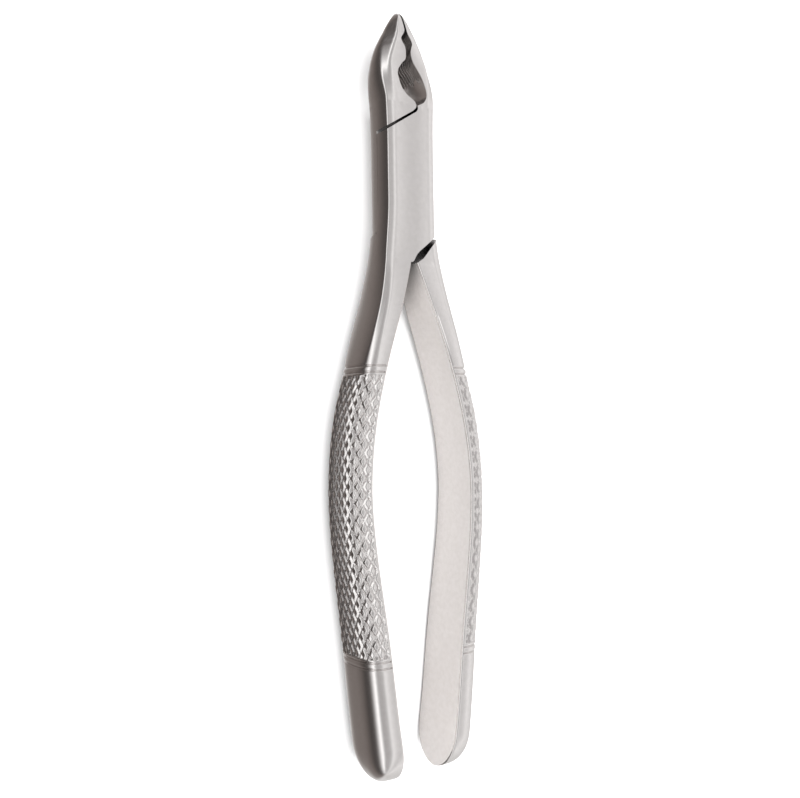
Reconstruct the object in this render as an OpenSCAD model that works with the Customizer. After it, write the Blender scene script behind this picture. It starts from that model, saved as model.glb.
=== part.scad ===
// Extraction forceps: two crossed steel halves turning on one flush pivot screw.
// +Y points along the closed beaks, +Z comes out of the front of the joint.
// The origin is the centre of the flat back face of the joint, on the pivot axis.

/* [Joint] */
// half of the thickness through the closed joint
joint_half = 4.1; // [3.9:0.1:4.3]
// half of the width of the joint plates
plate_half = 6.35; // [6.1:0.05:6.6]
// gap between the two sliding lap faces
lap_gap = 0.06; // [0.04:0.02:0.12]
// step from the flat faces down to the sharp side edges
bevel_drop = 0.45; // [0.3:0.05:0.6]
// swell of the sides past their sharp edges
side_crown = 0.35; // [0.1:0.05:0.5]

/* [Pivot] */
// diameter of the screw where it turns in the back half
pivot_d = 4.6; // [4.2:0.1:5.0]
// diameter of the screw where it is held in the front half
thread_d = 3.9; // [3.4:0.1:4.0]
// diameter of the flush screw head
head_d = 7.2; // [6.6:0.1:7.6]
// height of the flush screw head
head_t = 1.7; // [1.4:0.1:1.9]
// width of the driver slot
slot_w = 1.1; // [0.8:0.1:1.4]
// radial clearance of the turning screw
run_gap = 0.04; // [0.02:0.01:0.06]

/* [Beaks] */
// sideways set of the beak tips from the middle of the joint
beak_set = -0.9; // [-1.2:0.1:0]
// depth of the hollow down the inside of each beak
hollow = 1.5; // [0.8:0.1:1.6]

/* [Handles] */
// depth of the two ring grooves at each end of the grip
ring_depth = 0.28; // [0.1:0.02:0.4]
// width of the small bevel round the flat inner face
rim = 0.5; // [0.3:0.05:0.6]
// length of the rounded end of a handle
end_round = 8.8; // [8:0.1:9.5]

/* [Hidden] */
$fn = 96;
steel = [0.80, 0.79, 0.78];
root_y = 16.3;
crotch_y = -20.3;
end_y = -136.4;
bevel_w = 1.4; // width of the bevel on the joint and the handles
grip_power = 0.66; // squareness of the rounded grip, 1 for an ellipse
set_run = 12; // length over which the beaks lean to their set
swell_run = 14.3; // length over which the joint widens into the shanks
swell_x = 1.25;
swell_z = 0.35;
shoulder = 0.25; // widening of the joint at the beak roots
groove_w = 0.45; // half width of a ring groove
end_thin = 0.35; // share of its thickness that a handle loses at its end
tap_gap = 0.02; // radial clearance of the screw in the front half
tap_end = 0.8; // solid left between the blind screw hole and the front face
head_gap = 0.1; // radial clearance of the screw head
head_sink = 0.05; // how far the screw head lies below the back face
slot_top = 0.85; // top of the driver slot
ring_grooves = [-44.3, -45.7, -108.6, -110.0];

// Beak stations from the root to the tip: distance up the beak, inner edge at the
// front, inner edge at the back, sharp outer edge, half thickness of the flat
// faces, half height of the side, width of the bevel, share of the hollow.
beak = [
    [16.3, 1.70, -1.30, 6.60, 4.12, 3.67, 1.9, 0.00],
    [17.2, 3.30, -0.60, 6.64, 4.15, 3.66, 2.0, 0.25],
    [18.2, 4.10, 1.20, 6.74, 4.18, 3.60, 2.0, 0.50],
    [19.4, 4.45, 2.40, 6.87, 4.20, 3.45, 1.9, 0.55],
    [21.2, 4.10, 3.10, 6.96, 4.24, 3.15, 1.8, 0.62],
    [23.2, 3.25, 3.30, 6.86, 4.26, 2.85, 1.65, 0.80],
    [25.1, 1.95, 2.10, 6.55, 4.26, 2.55, 1.45, 1.00],
    [26.4, 1.10, 0.90, 6.28, 4.25, 2.35, 1.5, 1.00],
    [28.2, 0.72, 0.66, 5.80, 4.20, 2.00, 1.7, 1.00],
    [29.4, 1.00, 0.80, 5.40, 4.10, 1.80, 1.75, 0.96],
    [30.4, 1.35, 1.35, 4.98, 3.98, 1.62, 1.75, 0.85],
    [31.4, 1.10, 1.55, 4.54, 3.84, 1.50, 1.7, 0.74],
    [32.6, 0.45, 0.80, 3.98, 3.62, 1.32, 1.6, 0.62],
    [33.6, 0.28, 0.34, 3.48, 3.34, 1.15, 1.45, 0.52],
    [35.2, 0.26, 0.28, 2.72, 2.78, 0.95, 1.2, 0.36],
    [36.8, 0.25, 0.25, 1.86, 2.10, 0.75, 0.85, 0.20],
    [38.0, 0.25, 0.25, 1.12, 1.40, 0.50, 0.5, 0.07],
    [38.7, 0.25, 0.25, 0.60, 0.60, 0.25, 0.2, 0.00]
];

// Handle stations from the joint down: distance down, flat inner face, height from
// that face to the sharp outer edge, half width of the flat faces, half height of
// the side, share of the rounded grip section.
handle = [
    [-20.3, 0.75, 6.85, 4.45, 4.00, 0.00],
    [-25.0, 2.30, 6.20, 5.10, 4.40, 0.00],
    [-30.0, 4.00, 5.70, 5.65, 4.75, 0.00],
    [-36.0, 6.15, 5.40, 6.00, 5.00, 0.12],
    [-42.0, 8.15, 5.40, 6.20, 5.15, 0.50],
    [-48.0, 9.90, 5.65, 6.35, 5.20, 1.00],
    [-55.0, 11.65, 5.72, 6.48, 5.20, 1.00],
    [-63.0, 13.00, 5.50, 6.60, 5.20, 1.00],
    [-72.0, 13.60, 5.36, 6.70, 5.20, 1.00],
    [-81.0, 13.15, 5.46, 6.85, 5.20, 1.00],
    [-90.0, 12.10, 5.62, 7.02, 5.20, 1.00],
    [-105.0, 10.00, 5.98, 7.25, 5.20, 1.00],
    [-122.0, 8.02, 6.22, 7.38, 5.20, 1.00],
    [-136.4, 5.95, 6.60, 7.50, 5.20, 1.00]
];

// A smooth curve through each column of a station table.
function step_up(t) = t[1][0] > t[0][0];
function seg(t, y, i = 0) =
    i >= len(t) - 2 || (step_up(t) ? y <= t[i + 1][0] : y >= t[i + 1][0]) ? i : seg(t, y, i + 1);
function slope(t, c, i) =
    let (a = max(0, i - 1), b = min(len(t) - 1, i + 1)) (t[b][c] - t[a][c]) / (t[b][0] - t[a][0]);
function along(t, c, y, i) =
    let (d = t[i + 1][0] - t[i][0], s = (y - t[i][0]) / d, q = s * s, e = q * s)
    (2 * e - 3 * q + 1) * t[i][c] + (e - 2 * q + s) * d * slope(t, c, i)
    + (3 * q - 2 * e) * t[i + 1][c] + (e - q) * d * slope(t, c, i + 1);
function row(t, y) = let (i = seg(t, y)) [for (c = [1:len(t[0]) - 1]) along(t, c, y, i)];
function ease(s) = let (k = min(1, max(0, s))) k * k * (3 - 2 * k);
function back(list) = [for (j = [len(list) - 1:-1:0]) list[j]];

// One side of a bevelled section, front to back: distance from the middle, then z.
// The flat faces start at inner_f and inner_b and stop where the bevel begins.
function bevelled(inner_f, inner_b, tall, flat, side, bevel) =
    let (r = tall - bevel, c = side_crown * min(1, tall / 5)) [
    [inner_f + (r - inner_f) * 0.15, flat], [inner_f + (r - inner_f) * 0.6, flat], [r, flat],
    [tall, side], [tall + c * 0.56, side * 0.66], [tall + c * 0.9, side * 0.33], [tall + c, 0],
    [tall + c * 0.9, -side * 0.33], [tall + c * 0.56, -side * 0.66], [tall, -side],
    [r, -flat], [inner_b + (r - inner_b) * 0.6, -flat], [inner_b + (r - inner_b) * 0.15, -flat]
];
// The rounded grip section, in the same order.
function grip(tall, flat) = [for (j = [0:12]) let (a = 90 - 15 * j)
    [rim + (tall - rim) * pow(max(0, cos(a)), grip_power),
    flat * sign(a) * pow(abs(sin(a)), grip_power)]];

function groove(y) = max([for (g = ring_grooves) max(0, 1 - abs(y - g) / groove_w)]);
function tail(y) = min(0.994, max(0, (end_y + end_round - y) / end_round));

// Rings of 26 points: left side from back to front, right side from front to back.
function beak_ring(y, set) =
    let (r = row(beak, y), x = set * ease((y - root_y) / set_run))
    concat(
        [for (k = [0:12]) let (s = k / 12)
            [x + r[1] + (r[0] - r[1]) * s + hollow * r[6] * 4 * s * (1 - s), y, r[3] * (2 * s - 1)]],
        [for (p = bevelled(r[0], r[1], r[2], r[3], r[4], r[5])) [x + p[0], y, p[1]]]);
function block_ring(y) =
    let (low = max(0, crotch_y + swell_run - y) / swell_run, flat = joint_half + swell_z * pow(low, 5),
        wide = plate_half + swell_x * pow(low, 1.6), side = flat - bevel_drop,
        high = plate_half + shoulder * pow(max(0, y / root_y), 3))
    concat(
        [for (p = back(bevelled(0, 0, wide, flat, side, bevel_w))) [-p[0], y, p[1]]],
        [for (p = bevelled(0, 0, high, flat, side, bevel_w)) [p[0], y, p[1]]]);
function handle_ring(y) =
    let (r = row(handle, y), e = tail(y), w = r[2] * sqrt(1 - e * e), b = min(rim, w * 0.5),
        tall = r[1] * (1 - end_thin * pow(e, 3)), g = ring_depth * groove(y), k = min(1, max(0, r[4])),
        edge = bevelled(rim, rim, tall, w, min(r[3], w * 0.9), bevel_w), curve = grip(tall, w))
    concat(
        [for (j = [12:-1:0]) let (p = edge[j] * (1 - k) + curve[j] * k)
            [-r[0] - p[0] * (1 - g / r[1]), y, p[1] * (1 - g / r[2])]],
        [for (j = [12:-1:0]) [-r[0], y, (w - b) * (j / 6 - 1)]]);

beak_steps = [38.7, 38.4, 38, 37.4, 36.8, 36, 35.2, 34.4, 33.6, 33.1, 32.6, 32, 31.4, 30.9, 30.4, 29.9,
    29.4, 28.8, 28.2, 27.3, 26.4, 25.7, 25.1, 24.2, 23.2, 22.2, 21.2, 20.3, 19.4, 18.8, 18.2, 17.7,
    17.2, 16.8, root_y];
block_steps = [root_y, 8, 0, -6, -10, -13, -15.5, -18, crotch_y];
handle_steps = concat([crotch_y, -22.5], [for (i = [0:7]) -25 - 2.4 * i],
    [for (g = [0, 1], d = [3, 1, -1, -3]) ring_grooves[g] + d * groove_w / 3],
    [for (i = [0:16]) -48.5 - 3.5 * i],
    [for (g = [2, 3], d = [3, 1, -1, -3]) ring_grooves[g] + d * groove_w / 3],
    [-113, -117, -122, end_y + end_round],
    [for (e = [0.2, 0.36, 0.5, 0.62, 0.72, 0.81, 0.88, 0.94, 0.98, 0.995]) end_y + end_round * (1 - e)]);

// A closed skin through the rings; each end is a fan of triangles from point hub.
module skin(rings, hub) {
    n = len(rings[0]);
    last = len(rings) - 1;
    polyhedron(points = [for (r = rings, p = r) p], faces = concat(
        [for (j = [1:n - 2]) [hub, (hub + j + 1) % n, (hub + j) % n]],
        [for (k = [0:last - 1], j = [0:n - 1], h = [0, 1]) let (a = k * n, b = a + n, i = (j + 1) % n)
            h == 0 ? [a + j, a + i, b + i] : [a + j, b + i, b + j]],
        [for (j = [1:n - 2]) [last * n + hub, last * n + (hub + j) % n, last * n + (hub + j + 1) % n]]),
        convexity = 6);
}

// Where the other half's beak root and shank lie, in front of the lap face.
module front_rooms() {
    polygon([[1.7, root_y + 2], [1.7, 15.1], [-11, 6.65], [-11, root_y + 2]]);
    polygon([[11, -9.9], [6.4, -13.65], [1.2, -17.85], [0.35, -18.75], [-0.1, -19.5],
        [-0.75, crotch_y], [-0.75, crotch_y - 2], [11, crotch_y - 2]]);
}
// Where the other half's plate turns, behind the lap face.
module back_room() polygon([[11, 7.5], [-0.25, 14.8], [-1.1, 15.6], [-1.3, root_y],
    [-1.3, root_y + 2], [-11, root_y + 2], [-11, -9.5], [-6.5, -14.65], [-2.5, -19.15],
    [-0.75, crotch_y], [-0.75, crotch_y - 2], [11, crotch_y - 2]]);

// The front half about the pivot; the back half is this one turned over.
module half(set) {
    skin([for (y = beak_steps) beak_ring(y, set)], 19);
    skin([for (y = handle_steps) handle_ring(y)], 6);
    difference() {
        skin([for (y = block_steps) block_ring(y)], 6);
        translate([0, 0, -lap_gap / 2]) linear_extrude(12) front_rooms();
        translate([0, 0, lap_gap / 2 - 12]) linear_extrude(12) back_room();
    }
}

module front_half() color(steel) translate([0, 0, joint_half]) difference() {
    half(beak_set);
    cylinder(d = thread_d + 2 * tap_gap, h = joint_half - tap_end);
}

module back_half() color(steel) translate([0, 0, joint_half]) difference() {
    rotate([0, 180, 0]) half(-beak_set);
    translate([0, 0, -joint_half - 1]) cylinder(d = pivot_d + 2 * run_gap, h = joint_half + 2);
    translate([0, 0, -joint_half - 1]) cylinder(d = head_d + 2 * head_gap, h = head_t + 1.1);
}

module pivot_screw() color(steel) difference() {
    union() {
        translate([0, 0, head_sink]) cylinder(d = head_d, h = head_t);
        translate([0, 0, head_t]) cylinder(d = pivot_d, h = joint_half - head_t);
        translate([0, 0, joint_half - 0.5]) cylinder(d = thread_d, h = joint_half - 0.5);
    }
    translate([-head_d, -slot_w / 2, -1]) cube([2 * head_d, slot_w, slot_top + 1]);
}

front_half();
back_half();
pivot_screw();
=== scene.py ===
"""Extraction forceps in satin steel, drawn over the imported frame."""
import math

import bmesh
import bpy
import numpy as np
from mathutils import Matrix, Vector


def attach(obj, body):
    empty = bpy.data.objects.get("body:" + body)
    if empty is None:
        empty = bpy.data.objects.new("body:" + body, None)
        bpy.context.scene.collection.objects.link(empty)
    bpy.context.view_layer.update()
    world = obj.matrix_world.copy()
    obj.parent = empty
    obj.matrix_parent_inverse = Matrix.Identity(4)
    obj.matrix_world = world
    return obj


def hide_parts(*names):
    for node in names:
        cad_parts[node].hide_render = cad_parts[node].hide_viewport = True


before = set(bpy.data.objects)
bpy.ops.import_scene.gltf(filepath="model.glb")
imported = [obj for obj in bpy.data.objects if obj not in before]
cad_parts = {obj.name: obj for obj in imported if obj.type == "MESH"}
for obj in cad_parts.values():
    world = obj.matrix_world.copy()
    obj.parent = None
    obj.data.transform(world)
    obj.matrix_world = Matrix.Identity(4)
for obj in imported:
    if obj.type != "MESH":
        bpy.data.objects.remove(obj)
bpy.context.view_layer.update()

scene = bpy.context.scene

# Lengths are in millimetres. Sections are drawn about the middle plane of the joint.
MM = 0.001
JOINT_HALF = 4.1  # from the middle plane to the flat back face, where the frame's origin lies
PLATE_HALF = 6.35  # half the joint's width
LAP_GAP = 0.06  # clearance of the two lapped plates
ROOT_Y = 16.3  # where the beaks leave the joint
CROTCH_Y = -20.3  # where the shanks leave it
END_Y = -136.4
END_ROUND = 8.8  # length of the rounded handle end
BEAK_SET = -0.9  # how far both beak tips stand to one side
SET_RUN = 12
SEAM = 0.01  # step in y between one stretch of sections and the next

# Edges and faces.
BEVEL = 1.4
BEVEL_DROP = 0.45
CROWN = 0.6  # bulge of the narrow sides
FACE_CROWN = 0.2  # bulge of the broad faces
RIDGE_ROUND = 0.7
EDGE_ROUND = 0.28
SECTION_SHARES = (0.22, 0.14, 0.14, 0.12)  # share of the points on face, ridge, bevel and edge
RIM = 0.5  # rounding along the handle's flat inner face
RIM_N = 4
LEFT_N = 145
RIGHT_N = 73

# The joint widens into the shanks over SWELL_RUN, and a little at the beak roots.
SWELL_RUN = 14.3
SWELL_X = 1.25
SWELL_Z = 0.35
SHOULDER = 0.25

# The grip: 1 is an ellipse, and a smaller power is squarer. Its end thins and closes.
GRIP_POWER = 0.66
END_THIN = 0.35
END_CLOSE = 0.25
RINGS = (-44.3, -45.7, -108.6, -110.0)
RING_DEPTH = 0.38
RING_WIDTH = 0.21
KNURL_ROUND = 2.2  # pitch round the grip
KNURL_ALONG = 3.62  # pitch along it
KNURL_DEPTH = 0.42
KNURL_HALF = 0.50  # half width of a groove
KNURL_TOP = -46.3
KNURL_BOTTOM = -108.0

# The beaks' hollow, with flutes along it and fine notches across them near the tips.
HOLLOW = 1.5
FLUTE_START = 23.3
FLUTE_END = 37.6
FLUTE_PITCH = 0.7
FLUTE_DEPTH = 0.24
NOTCH_START = 31.5
NOTCH_PITCH = 0.55
NOTCH_DEPTH = 0.07
SHADED_FLUTE_DEPTH = 0.05  # flutes deeper than this get dark steel, painted shade in the grooves
SHADED_FLUTE_HALF = 4

# Radii of the pivot screw's holes, the solid left in front of it and its head's seat.
THREAD_HOLE = 1.97
SHANK_HOLE = 2.34
HEAD_HOLE = 3.7
TAP_END = 0.8
HEAD_SEAT = -2.3

FLOOR_DROP = 7.6  # from the middle plane down to the floor

# Stations of the beak: y, inner edge in front, inner edge behind, outer edge, half
# thickness, half height of the side, bevel, share of the hollow.
BEAK = np.array([
    [16.3, 1.70, -1.30, 6.60, 4.12, 3.67, 1.9, 0.00],
    [17.2, 3.30, -0.60, 6.64, 4.15, 3.66, 2.0, 0.25],
    [18.2, 4.10, 1.20, 6.74, 4.18, 3.60, 2.0, 0.50],
    [19.4, 4.45, 2.40, 6.87, 4.20, 3.45, 1.9, 0.55],
    [21.2, 4.10, 3.10, 6.96, 4.24, 3.15, 1.8, 0.62],
    [23.2, 3.25, 3.30, 6.86, 4.26, 2.85, 1.65, 0.80],
    [25.1, 1.95, 2.10, 6.55, 4.26, 2.55, 1.45, 1.00],
    [26.4, 1.10, 0.90, 6.28, 4.25, 2.35, 1.5, 1.00],
    [28.2, 0.72, 0.66, 5.80, 4.20, 2.00, 1.7, 1.00],
    [29.4, 1.00, 0.80, 5.40, 4.10, 1.80, 1.75, 0.96],
    [30.4, 1.35, 1.35, 4.98, 3.98, 1.62, 1.75, 0.85],
    [31.4, 1.10, 1.55, 4.54, 3.84, 1.50, 1.7, 0.74],
    [32.6, 0.45, 0.80, 3.98, 3.62, 1.32, 1.6, 0.62],
    [33.6, 0.28, 0.34, 3.48, 3.34, 1.15, 1.45, 0.52],
    [35.2, 0.26, 0.28, 2.72, 2.78, 0.95, 1.2, 0.36],
    [36.8, 0.25, 0.25, 1.86, 2.10, 0.75, 0.85, 0.20],
    [38.0, 0.25, 0.25, 1.12, 1.40, 0.50, 0.5, 0.07],
    [38.7, 0.25, 0.25, 0.60, 0.60, 0.25, 0.2, 0.00],
])
# Stations of the handle: y, flat inner face, height to the outer edge, half width of
# the flat faces, half height of the side, share of the rounded grip.
HANDLE = np.array([
    [-20.3, 0.75, 6.85, 4.45, 4.00, 0.00],
    [-25.0, 2.30, 6.20, 5.10, 4.40, 0.00],
    [-30.0, 4.00, 5.70, 5.65, 4.75, 0.00],
    [-36.0, 6.15, 5.40, 6.00, 5.00, 0.12],
    [-42.0, 8.15, 5.40, 6.20, 5.15, 0.50],
    [-48.0, 9.90, 5.65, 6.35, 5.20, 1.00],
    [-55.0, 11.65, 5.72, 6.48, 5.20, 1.00],
    [-63.0, 13.00, 5.50, 6.60, 5.20, 1.00],
    [-72.0, 13.60, 5.36, 6.70, 5.20, 1.00],
    [-81.0, 13.15, 5.46, 6.85, 5.20, 1.00],
    [-90.0, 12.10, 5.62, 7.02, 5.20, 1.00],
    [-105.0, 10.00, 5.98, 7.25, 5.20, 1.00],
    [-122.0, 8.02, 6.22, 7.38, 5.20, 1.00],
    [-136.4, 5.95, 6.60, 7.50, 5.20, 1.00],
])

# Where sections are drawn: from y, to y, spacing.
BEAK_SPANS = ((38.7, 37.2, 0.12), (37.2, ROOT_Y, 0.2))
BLOCK_SPANS = ((ROOT_Y - SEAM, -12, 1.2), (-12, CROTCH_Y + SEAM, 0.8))
HANDLE_SPANS = (
    (CROTCH_Y, -43.5, 0.9), (-43.5, -46.2, 0.07), (-46.2, -108.1, 0.17),
    (-108.1, -110.8, 0.07), (-110.8, END_Y + END_ROUND, 1.1),
)
END_N = 44

# Outlines (x, y) of the room for the other half in the lap joint. The first two are cut
# from the front of a half, above and below its plate, and the third from its back.
UP_ROOM = [(1.7, ROOT_Y + 0.02), (1.7, 15.5), (1.35, 14.87), (-11, 6.65), (-11, ROOT_Y + 0.02)]
LOW_ROOM = [(11, -9.9), (6.4, -13.65), (3.6, -15.95), (1.6, -17.5), (0.75, -18.3), (0.2, -19.1),
            (-0.3, -19.95), (-0.75, CROTCH_Y - 0.02), (11, CROTCH_Y - 0.02)]
BACK_ROOM = [(11, 7.5), (-0.25, 14.8), (-1.1, 15.6), (-1.3, ROOT_Y + 0.02), (-11, ROOT_Y + 0.02),
             (-11, -9.5), (-6.5, -14.65), (-2.5, -19.15), (-0.75, CROTCH_Y - 0.02),
             (11, CROTCH_Y - 0.02)]


def row(table, y):
    """The table's columns at y, on a smooth curve through the stations."""
    ys = table[:, 0]
    way = 1 if ys[1] > ys[0] else -1
    i = 0
    while i < len(ys) - 2 and way * y > way * ys[i + 1]:
        i += 1

    def slope(k):
        low = max(0, k - 1)
        high = min(len(ys) - 1, k + 1)
        return (table[high, 1:] - table[low, 1:]) / (ys[high] - ys[low])

    gap = ys[i + 1] - ys[i]
    s = (y - ys[i]) / gap
    s2 = s * s
    s3 = s * s * s
    return ((2 * s3 - 3 * s2 + 1) * table[i, 1:] + (s3 - 2 * s2 + s) * gap * slope(i)
            + (3 * s2 - 2 * s3) * table[i + 1, 1:] + (s3 - s2) * gap * slope(i + 1))


def ease(s):
    """A smooth step from 0 to 1."""
    k = np.clip(s, 0, 1)
    return k * k * (3 - 2 * k)


def bend(a, corner, b, n):
    """n points from a to b round a corner."""
    t = np.linspace(0, 1, n)[:, None]
    return (1 - t) ** 2 * a + 2 * t * (1 - t) * corner + t ** 2 * b


def level(x, y, z):
    """Points at one y."""
    return np.stack([x, np.full(len(x), y), z], 1)


def bevelled(front, back, tall, flat, side, bevel, n):
    """One side of a section, from its front round to its back, as n points (out, z).

    The broad faces start at front and back and lie at z = flat and -flat. The narrow
    side lies at out = tall, and reaches from side to -side.
    """
    bulge = CROWN * min(1.0, tall / 5)
    n_face, n_ridge, n_bevel, n_edge = [int(round(n // 2 * k)) for k in SECTION_SHARES]
    n_side = n // 2 - n_face - n_ridge - n_bevel - n_edge

    def quarter(inner):
        start = np.array([inner, flat])
        ridge = np.array([tall - bevel, flat])
        edge = np.array([tall, side])
        soft = min(RIDGE_ROUND, 0.42 * bevel, 0.45 * max(1e-3, tall - bevel - inner))
        hard = min(EDGE_ROUND, side * 0.3)
        down = (edge - ridge) / np.linalg.norm(edge - ridge)
        face_end = ridge - np.array([soft, 0])
        bevel_start = ridge + down * soft
        bevel_end = edge - down * hard
        side_start = np.array([tall + bulge * (1 - ((side - hard) / side) ** 2), side - hard])
        face = start + (face_end - start) * np.linspace(0, 1, n_face, endpoint=False)[:, None]
        face[:, 1] += FACE_CROWN * (1 - (face[:, 0] / face_end[0]) ** 2) * min(1.0, flat / 3)
        slant = bevel_start + (bevel_end - bevel_start) * np.linspace(0, 1, n_bevel + 2)[1:-1, None]
        z = np.linspace(side_start[1], 0, n_side + 2)[1:]
        lobe = np.stack([tall + bulge * (1 - (z / side) ** 2), z], 1)
        return np.concatenate([face, bend(face_end, ridge, bevel_start, n_ridge), slant,
                               bend(bevel_end, edge, side_start, n_edge), lobe])

    rear = quarter(back)[-2::-1] * np.array([1, -1])
    return np.concatenate([quarter(front), rear])


def grip(tall, flat, n):
    """The rounded grip section, evenly spaced: n points (out, z), where they lie, and its length."""
    a = np.linspace(math.pi / 2, -math.pi / 2, 721)
    x = RIM + (tall - RIM) * np.maximum(0, np.cos(a)) ** GRIP_POWER
    z = flat * np.sign(np.sin(a)) * np.abs(np.sin(a)) ** GRIP_POWER
    run = np.concatenate([[0], np.cumsum(np.hypot(np.diff(x), np.diff(z)))])
    at = np.linspace(0, run[-1], n)
    return np.stack([np.interp(at, run, x), np.interp(at, run, z)], 1), at - run[-1] / 2, run[-1]


def flutes(y, z):
    """Depth of the flutes and their cross notches. The flutes start on a wavy line."""
    start = FLUTE_START + 0.6 * math.sin(z * 2.3) + 0.3 * math.sin(z * 7.1 + 1.0)
    inside = ease((y - start) / 0.35) * ease((FLUTE_END - y) / 1.5)
    wall = abs(math.sin(math.pi * z / FLUTE_PITCH)) ** 0.8
    notch = 0.5 + 0.5 * math.cos(2 * math.pi * y / NOTCH_PITCH)
    near_tip = ease((y - NOTCH_START) / 2)
    return inside * (FLUTE_DEPTH * (1 - wall) + NOTCH_DEPTH * notch * near_tip)


def ring_cut(y):
    """Share of a ring groove's depth at y."""
    return max(math.exp(-((y - g) / RING_WIDTH) ** 2) for g in RINGS)


def knurl(y, run, total):
    """Depth of the diamond grooves at places round the grip."""
    u = run / KNURL_ROUND + y / KNURL_ALONG
    v = run / KNURL_ROUND - y / KNURL_ALONG
    apart = 1 / math.hypot(1 / KNURL_ROUND, 1 / KNURL_ALONG)
    d = np.minimum(np.abs(u - np.round(u)), np.abs(v - np.round(v))) * apart
    edge = ease((total / 2 - np.abs(run) - 0.2) / 0.4)
    span = ease((KNURL_TOP - y) / 0.3) * ease((y - KNURL_BOTTOM) / 0.3)
    return KNURL_DEPTH * np.clip(1 - d / KNURL_HALF, 0, 1) * edge * span


def beak_ring(y, lean):
    """A section of the beak: the fluted hollow on its left, the bevelled back on its right."""
    front, back, outer, flat, side, bevel, hollow = row(BEAK, y)
    x = lean * ease((y - ROOT_Y) / SET_RUN)
    s = np.linspace(0, 1, LEFT_N)
    z = flat * (2 * s - 1)
    cut = np.array([flutes(y, v) for v in z]) * ease(np.minimum(s, 1 - s) / 0.06)
    trough = x + back + (front - back) * s + HOLLOW * hollow * 4 * s * (1 - s) + cut
    p = bevelled(front, back, outer, flat, side, bevel, RIGHT_N)
    return np.concatenate([level(trough, y, z), level(x + p[:, 0], y, p[:, 1])])


def block_ring(y):
    """A section of the joint, before it is lapped."""
    low = max(0.0, CROTCH_Y + SWELL_RUN - y) / SWELL_RUN
    flat = JOINT_HALF + SWELL_Z * low ** 5
    wide = PLATE_HALF + SWELL_X * low ** 1.6
    high = PLATE_HALF + SHOULDER * max(0.0, y / ROOT_Y) ** 3
    p = bevelled(0, 0, wide, flat, flat - BEVEL_DROP, BEVEL, LEFT_N)[::-1]
    q = bevelled(0, 0, high, flat, flat - BEVEL_DROP, BEVEL, RIGHT_N)
    return np.concatenate([level(-p[:, 0], y, p[:, 1]), level(q[:, 0], y, q[:, 1])])


def handle_ring(y):
    """A section of the handle: the bevelled or rounded outer side, then the flat inner face."""
    inner, tall, flat, side, roundness = row(HANDLE, y)
    end = min(0.9998, max(0.0, (END_Y + END_ROUND - y) / END_ROUND))
    flat = flat * math.sqrt(1 - end * end)
    rim = min(RIM, flat * 0.5)
    tall = tall * (1 - END_THIN * end ** 3 - END_CLOSE * end ** 24)
    k = min(1.0, max(0.0, roundness))
    edge = bevelled(RIM, RIM, tall, flat, min(side, flat * 0.9), BEVEL, LEFT_N)
    curve, run, total = grip(tall, flat, LEFT_N)
    p = edge * (1 - k) + curve * k
    along = np.gradient(p, axis=0)
    normal = np.stack([-along[:, 1], along[:, 0]], 1)
    normal /= np.maximum(1e-9, np.linalg.norm(normal, axis=1))[:, None]
    dig = np.full(LEFT_N, RING_DEPTH * ring_cut(y))
    if k > 0.8:
        dig += knurl(y, run, total)
    p = (p - normal * dig[:, None])[::-1]
    turn = np.linspace(0, math.pi / 2, RIM_N + 2)[1:-1]
    arc = level(-inner - rim * (1 - np.sin(turn)), y, flat - rim * (1 - np.cos(turn)))
    z = np.linspace(flat - rim, -(flat - rim), RIGHT_N - 2 * RIM_N)
    face = level(np.full(len(z), -inner), y, z)
    return np.concatenate([level(-inner - p[:, 0], y, p[:, 1]), arc, face,
                           arc[::-1] * np.array([1, 1, -1])])


def steps(spans):
    """Values along each span, without its last one."""
    values = []
    for a, b, spacing in spans:
        n = max(1, int(round(abs(b - a) / spacing)))
        values += [a + (b - a) * i / n for i in range(n)]
    return values


def place(obj):
    scene.collection.objects.link(obj)
    return obj


def solid(name, verts, faces, materials):
    """A closed mesh whose faces look outward."""
    mesh = bpy.data.meshes.new(name)
    mesh.from_pydata(verts, [], faces)
    mesh.validate()
    for m in materials:
        mesh.materials.append(m)
    bm = bmesh.new()
    bm.from_mesh(mesh)
    bmesh.ops.recalc_face_normals(bm, faces=bm.faces)
    bm.to_mesh(mesh)
    bm.free()
    return place(bpy.data.objects.new(name, mesh))


def skin(name, rings):
    """A solid through rings of points."""
    n = len(rings[0])
    verts = np.concatenate(rings)
    verts[:, 2] += JOINT_HALF
    verts *= MM
    last = len(verts) - 1
    faces = [(a + j, a + n + j, a + n + (j + 1) % n, a + (j + 1) % n)
             for a in range(0, len(verts) - n, n) for j in range(n)]
    faces += [tuple(range(n)), tuple(range(last, last - n, -1))]
    return solid(name, verts.tolist(), faces, (metal, matte, flute_shade))


def prism(outline, low, high):
    """A prism over an outline, between two heights above the middle plane."""
    n = len(outline)
    verts = [(x * MM, y * MM, (z + JOINT_HALF) * MM) for z in (low, high) for x, y in outline]
    faces = [tuple(range(n - 1, -1, -1)), tuple(range(n, 2 * n))]
    faces += [(i, (i + 1) % n, n + (i + 1) % n, n + i) for i in range(n)]
    return solid("tool", verts, faces, (metal,))


def circle(r, n=96):
    return [(r * math.cos(2 * math.pi * i / n), r * math.sin(2 * math.pi * i / n)) for i in range(n)]


def cut_away(obj, tools):
    """Cuts the tools out of the object and deletes them."""
    bpy.context.view_layer.objects.active = obj
    for tool in tools:
        m = obj.modifiers.new("cut", "BOOLEAN")
        m.operation = "DIFFERENCE"
        m.solver = "MANIFOLD"
        m.object = tool
        bpy.ops.object.modifier_apply(modifier=m.name)
        bpy.data.objects.remove(tool, do_unlink=True)


def node(tree, kind, **values):
    """A shader node with values on its input sockets."""
    made = tree.nodes.new("ShaderNode" + kind)
    for socket, value in values.items():
        made.inputs[socket.replace("_", " ")].default_value = value
    return made


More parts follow.
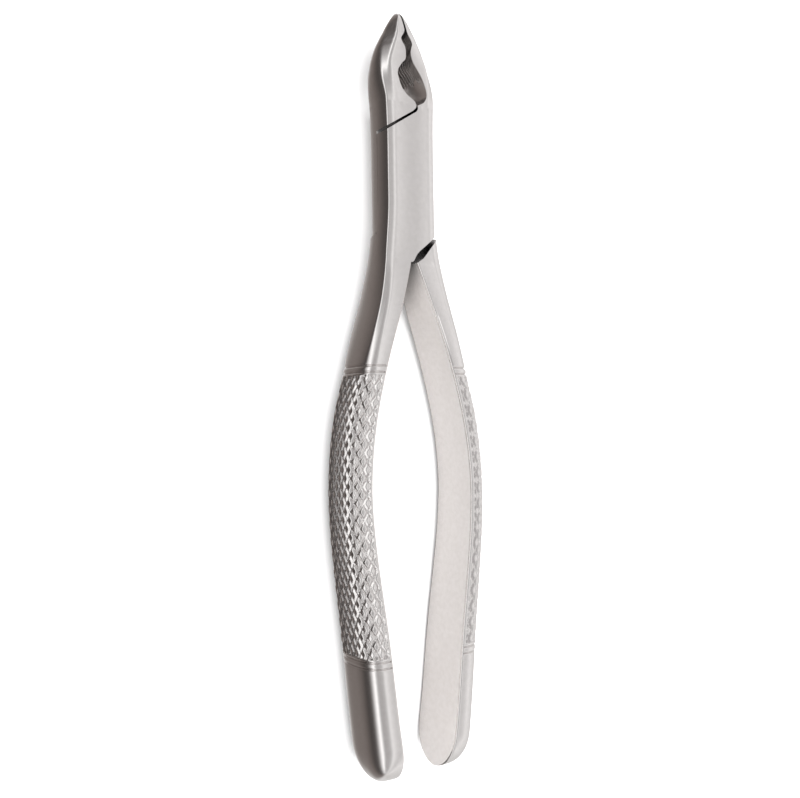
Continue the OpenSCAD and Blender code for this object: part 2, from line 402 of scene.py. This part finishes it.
def steel(name, metallic, rough, low_tone, high_tone, reach=0.004, open_at=0.52):
    """Steel with a fine grain along its length, and painted shade: its base colour is darkened where light
    can't get in.
    """
    m = bpy.data.materials.new(name)
    m.use_nodes = True
    tree = m.node_tree
    link = tree.links.new
    shader = tree.nodes["Principled BSDF"]
    shader.inputs["Metallic"].default_value = metallic
    shader.inputs["Roughness"].default_value = rough

    spot = node(tree, "TexCoord")
    stretch = node(tree, "Mapping", Scale=(9000, 700, 9000))
    grain = node(tree, "TexNoise", Scale=1.0, Detail=3.0)
    bump = node(tree, "Bump", Strength=0.10, Distance=0.00002)
    link(spot.outputs["Object"], stretch.inputs["Vector"])
    link(stretch.outputs["Vector"], grain.inputs["Vector"])
    link(grain.outputs["Fac"], bump.inputs["Height"])
    link(bump.outputs["Normal"], shader.inputs["Normal"])

    cloud = node(tree, "TexNoise", Scale=900.0, Detail=4.0)
    tone = node(tree, "ValToRGB")
    for stop, place_on, colour in zip(tone.color_ramp.elements, (0.3, 0.7), (low_tone, high_tone)):
        stop.position = place_on
        stop.color = (*colour, 1)
    link(spot.outputs["Object"], cloud.inputs["Vector"])
    link(cloud.outputs["Fac"], tone.inputs["Fac"])

    # Painted shade: ambient occlusion darkens the base colour in gaps and crevices near close surfaces.
    crevice = node(tree, "AmbientOcclusion", Distance=reach)
    crevice.samples = 8
    shade = node(tree, "MapRange", From_Min=0.10, From_Max=open_at, To_Min=0.03, To_Max=1.0)
    product = node(tree, "VectorMath")
    product.operation = "MULTIPLY"
    link(crevice.outputs["AO"], shade.inputs["Value"])
    link(tone.outputs["Color"], product.inputs[0])
    link(shade.outputs["Result"], product.inputs[1])
    link(product.outputs["Vector"], shader.inputs["Base Color"])
    return m


metal = steel("satin_steel", 1.0, 0.22, (0.79, 0.765, 0.752), (0.825, 0.80, 0.79))
matte = steel("blasted_steel", 0.45, 0.46, (0.82, 0.79, 0.77), (0.88, 0.85, 0.835), 0.009, 0.62)
# Painted shade: a near-black steel for the deeper flutes, standing for the shade that falls in their
# grooves.
flute_shade = steel("painted_flute_shade", 1.0, 0.35, (0.14, 0.13, 0.125), (0.24, 0.225, 0.22))


def mark_faces(obj):
    """Blasted steel on the handle's flat inner face, and dark steel as painted shade in the beak's flutes.
    """
    slots = obj.data.materials.keys()
    for f in obj.data.polygons:
        centre = f.center / MM
        z = centre.z - JOINT_HALF
        if f.normal.x > 0.8 and abs(f.normal.z) < 0.1 and centre.y < CROTCH_Y:
            f.material_index = slots.index(matte.name)
        elif (f.normal.x < -0.35 and centre.y > ROOT_Y and abs(z) < SHADED_FLUTE_HALF
                and flutes(centre.y, z) > SHADED_FLUTE_DEPTH):
            f.material_index = slots.index(flute_shade.name)


def half(name, lean):
    """One forging, lying as the front half does: beak, lap plate in front, and handle."""
    round_end = [END_Y + END_ROUND * (1 - math.sin(math.pi / 2 * t)) for t in np.linspace(0, 0.988, END_N)]
    rings = [beak_ring(y, lean) for y in steps(BEAK_SPANS) + [ROOT_Y]]
    rings += [block_ring(y) for y in steps(BLOCK_SPANS) + [CROTCH_Y + SEAM]]
    rings += [handle_ring(y) for y in steps(HANDLE_SPANS) + round_end]
    obj = skin(name, rings)
    beyond = 12
    cut_away(obj, [prism(UP_ROOM, -LAP_GAP / 2, beyond), prism(LOW_ROOM, -LAP_GAP / 2, beyond),
                   prism(BACK_ROOM, -beyond, LAP_GAP / 2)])
    mark_faces(obj)
    return obj


def turn_over(obj):
    """Turns a half over about the long axis through the joint's middle."""
    middle = Matrix.Translation((0, 0, JOINT_HALF * MM))
    obj.data.transform(middle @ Matrix.Rotation(math.pi, 4, "Y") @ middle.inverted())


front = half("steel_front", BEAK_SET)
cut_away(front, [prism(circle(THREAD_HOLE), -2, JOINT_HALF - TAP_END)])
rear = half("steel_back", -BEAK_SET)
turn_over(rear)
cut_away(rear, [prism(circle(SHANK_HOLE), -6, 2), prism(circle(HEAD_HOLE), -6, HEAD_SEAT)])

for obj in (front, rear):
    obj.data.polygons.foreach_set("use_smooth", [True] * len(obj.data.polygons))
    obj.data.set_sharp_from_angle(angle=math.radians(28))

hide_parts("front_half")
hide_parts("back_half")
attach(front, "front_half")
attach(rear, "back_half")

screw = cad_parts["pivot_screw"]
screw.data.materials.clear()
screw.data.materials.append(metal)

# A pale floor just under the handles, which the steel doesn't reflect.
floor_mesh = bpy.data.meshes.new("floor")
reach = 3.0
floor_z = (JOINT_HALF - FLOOR_DROP) * MM
corners = [(-reach, -reach), (reach, -reach), (reach, reach), (-reach, reach)]
floor_mesh.from_pydata([(x, y, floor_z) for x, y in corners], [], [(0, 1, 2, 3)])
floor = place(bpy.data.objects.new("floor", floor_mesh))
floor_paint = bpy.data.materials.new("floor")
floor_paint.use_nodes = True
floor_shader = floor_paint.node_tree.nodes["Principled BSDF"]
floor_shader.inputs["Base Color"].default_value = (0.97, 0.97, 0.97, 1)
floor_shader.inputs["Roughness"].default_value = 0.9
floor_mesh.materials.append(floor_paint)
floor.visible_glossy = False

# Studio round the long axis: brightness by angle in degrees, from -180 and 180 at the
# left, by way of -90 underneath, 0 at the right and 90 in front.
STUDIO = [
    (-180, (0.18, 0.17, 0.165)), (-172, (0.09, 0.08, 0.078)), (-152, (0.065, 0.058, 0.055)),
    (-138, (0.13, 0.112, 0.105)), (-122, (0.21, 0.182, 0.17)), (-104, (0.25, 0.225, 0.212)),
    (-86, (0.62, 0.60, 0.59)), (-72, (0.85, 0.84, 0.84)), (-30, (0.70, 0.69, 0.68)),
    (15, (0.85, 0.84, 0.84)), (36, (0.98, 0.97, 0.97)), (47, (0.74, 0.73, 0.73)),
    (55, (0.60, 0.59, 0.59)), (66, (0.86, 0.85, 0.85)), (76, (1.05, 1.05, 1.05)),
    (86, (0.58, 0.57, 0.57)), (100, (0.50, 0.49, 0.49)), (124, (0.46, 0.45, 0.45)),
    (134, (0.75, 0.75, 0.75)), (144, (1.45, 1.45, 1.45)), (154, (1.25, 1.25, 1.25)),
    (166, (0.62, 0.61, 0.61)), (180, (0.18, 0.17, 0.165)),
]
world = scene.world or bpy.data.worlds.new("world")
scene.world = world
world.use_nodes = True
sky = world.node_tree
ray = node(sky, "TexCoord")
parts = node(sky, "SeparateXYZ")
angle = node(sky, "Math")
angle.operation = "ARCTAN2"
share = node(sky, "MapRange", From_Min=-math.pi, From_Max=math.pi, To_Min=0, To_Max=1)
ramp = node(sky, "ValToRGB")
stops = ramp.color_ramp.elements
while len(stops) < len(STUDIO):
    stops.new(0.5)
# A stop that moves is sorted in again, so all of them are placed before any is coloured.
for stop, (degrees, colour) in zip(stops, STUDIO):
    stop.position = (degrees + 180) / 360
for stop, (degrees, colour) in zip(stops, STUDIO):
    stop.color = (*colour, 1)
sky.links.new(ray.outputs["Generated"], parts.inputs[0])
sky.links.new(parts.outputs["Z"], angle.inputs[0])
sky.links.new(parts.outputs["X"], angle.inputs[1])
sky.links.new(angle.outputs[0], share.inputs["Value"])
sky.links.new(share.outputs["Result"], ramp.inputs["Fac"])
sky.links.new(ramp.outputs["Color"], sky.nodes["Background"].inputs["Color"])
scene.view_settings.view_transform = "Standard"

# A broad lamp overhead, which the steel doesn't reflect either.
light = bpy.data.lights.new("fill", "AREA")
light.shape = "RECTANGLE"
light.size = 2.4
light.size_y = 2.4
light.energy = 45
fill = place(bpy.data.objects.new("fill", light))
fill.location = (0, -0.05, 1.2)
fill.rotation_euler = Vector((0, 0, -1)).to_track_quat("-Z", "Y").to_euler()
fill.visible_glossy = False

# The camera stands to the left of the front, level with the upper handles.
TURN = math.radians(34.5)
TILT = math.radians(-1.86)
ROLL = math.radians(-0.93)
DISTANCE = 203.4
AIM = Vector((-1.72, -51.42, JOINT_HALF))
LENS = 39.726
SENSOR = 36
toward = Vector((-math.sin(TURN) * math.cos(TILT), math.sin(TILT), math.cos(TURN) * math.cos(TILT)))
across = Vector((0, 1, 0)).cross(toward).normalized()
upward = toward.cross(across)
axes = Matrix((across * math.cos(ROLL) + upward * math.sin(ROLL),
               -across * math.sin(ROLL) + upward * math.cos(ROLL), toward)).transposed()
lens = bpy.data.cameras.new("camera")
lens.sensor_fit = "HORIZONTAL"
lens.sensor_width = SENSOR
lens.lens = LENS
lens.clip_start = 0.01
lens.clip_end = 20
camera = place(bpy.data.objects.new("camera", lens))
camera.matrix_world = Matrix.Translation((AIM + toward * DISTANCE) * MM) @ axes.to_4x4()
scene.camera = camera
